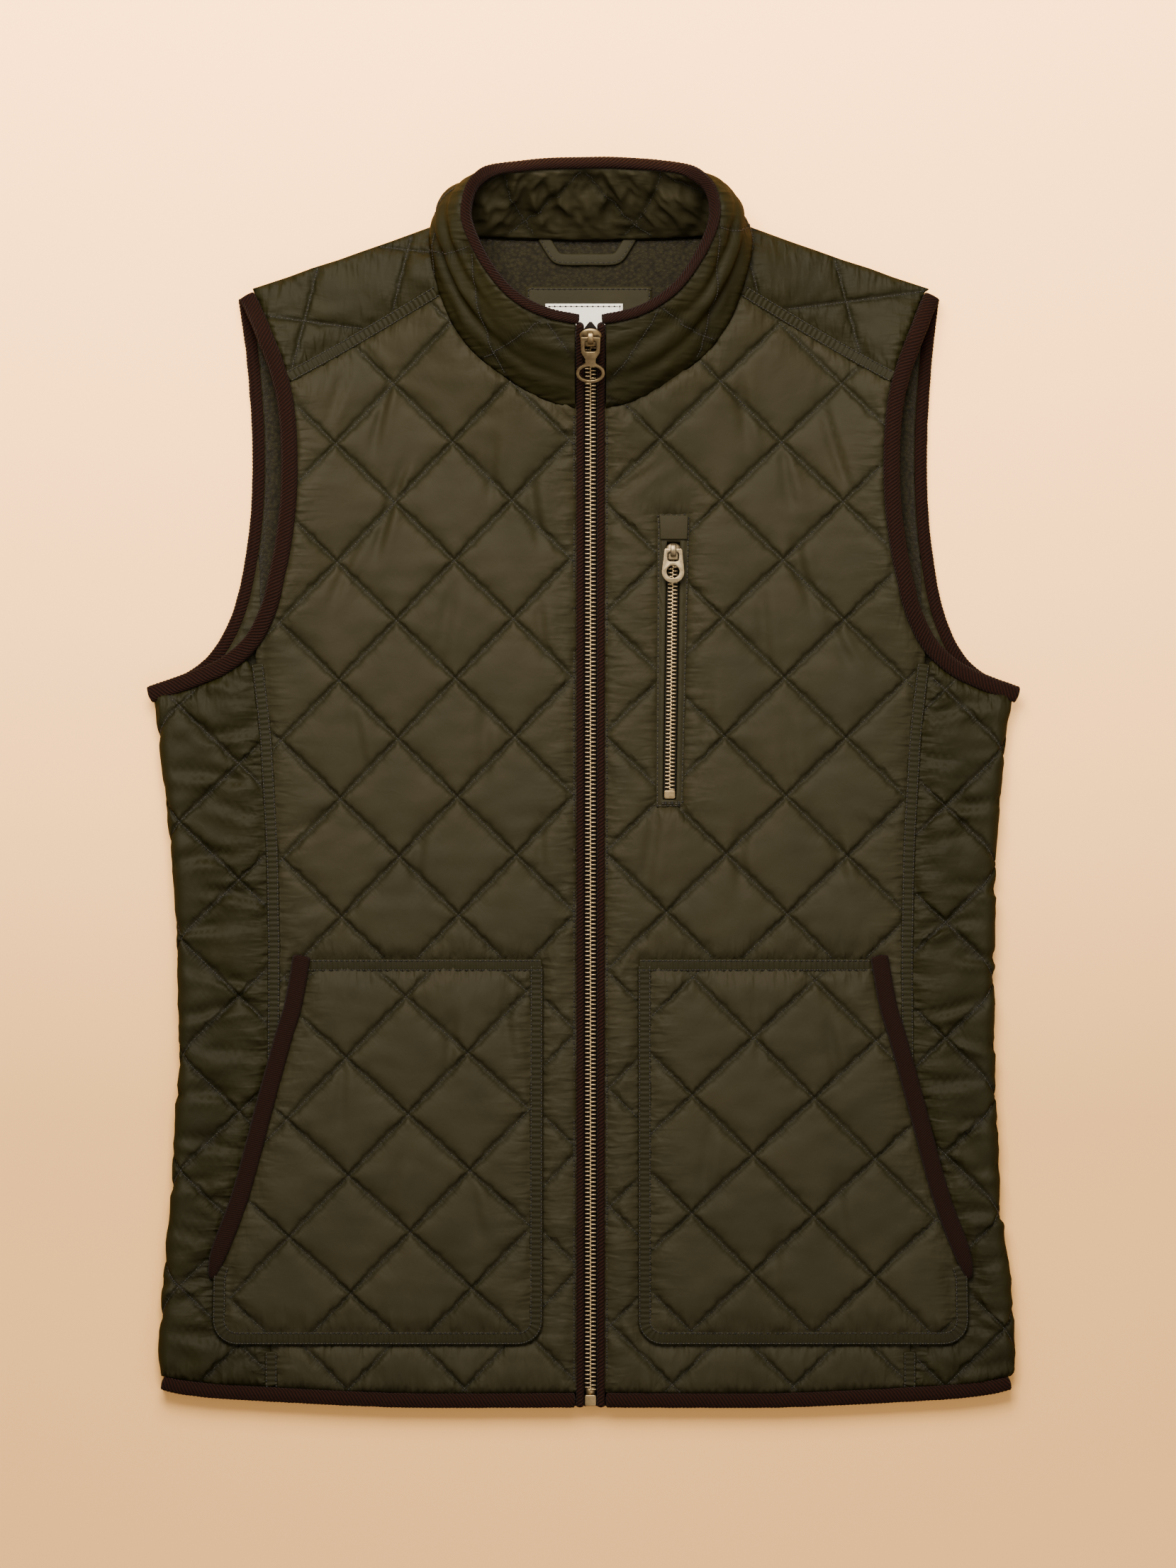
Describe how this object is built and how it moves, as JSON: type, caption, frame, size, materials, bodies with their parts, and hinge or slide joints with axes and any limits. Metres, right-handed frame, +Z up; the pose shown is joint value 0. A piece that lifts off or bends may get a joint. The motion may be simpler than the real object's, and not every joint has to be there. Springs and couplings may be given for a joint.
{
  "type": "quilted vest",
  "caption": "Diamond-quilted zip vest laid flat face up, with a stand collar, ribbed edge bindings, a chest zip pocket and slanted patch pockets.",
  "frame": {"origin": "middle of the bounding box, on the surface that the back lies on", "axes": "+X towards the wearer's left, +Y from hem to collar, +Z up, away from the surface"},
  "size_m": [0.5188, 0.75, 0.0564],
  "materials": {
    "shell": "satin nylon, olive, padded and stitched in diamonds",
    "fleece": "brushed fleece, olive",
    "rib": "ribbed binding, dark brown",
    "brass": "antique brass",
    "teeth": "bright brass zip teeth",
    "label": "woven label, blank"
  },
  "bodies": {
    "vest": {"back_panel": "shell", "front_right": "shell", "front_left": "shell", "side_panel_right": "shell", "side_panel_left": "shell", "yoke_right": "shell", "yoke_left": "shell", "collar": "shell", "patch_pocket_right": "shell", "patch_pocket_left": "shell", "chest_pocket_frame": "shell", "chest_pocket_tab": "shell", "back_neck_facing": "shell", "hanger_loop": "shell", "back_lining": "fleece", "collar_binding": "rib", "hem_binding_back": "rib", "zip_strip_right": "rib", "zip_strip_left": "rib", "armhole_binding_front_right": "rib", "armhole_binding_front_left": "rib", "armhole_binding_back_right": "rib", "armhole_binding_back_left": "rib", "hem_binding_front_right": "rib", "hem_binding_front_left": "rib", "pocket_binding_right": "rib", "pocket_binding_left": "rib", "main_zip_slider": "brass", "main_zip_box": "brass", "chest_zip_slider": "brass", "chest_zip_stop": "brass", "main_zip_chain": "teeth", "chest_zip_chain": "teeth", "neck_label": "label"},
    "main_pull": {"main_zip_pull": "brass"},
    "chest_pull": {"chest_zip_pull": "brass"}
  },
  "joints": [
    {"name": "main_pull_swing", "type": "hinge", "parent": "vest", "child": "main_pull", "pos_m": [0.00347, 0.26606, 0.05265], "axis": [-1, 0, 0], "range_deg": [0, 150]},
    {"name": "chest_pull_swing", "type": "hinge", "parent": "vest", "child": "chest_pull", "pos_m": [0.05335, 0.14196, 0.017], "axis": [-0.9999, 0.0148, 0], "range_deg": [0, 150]}
  ]
}
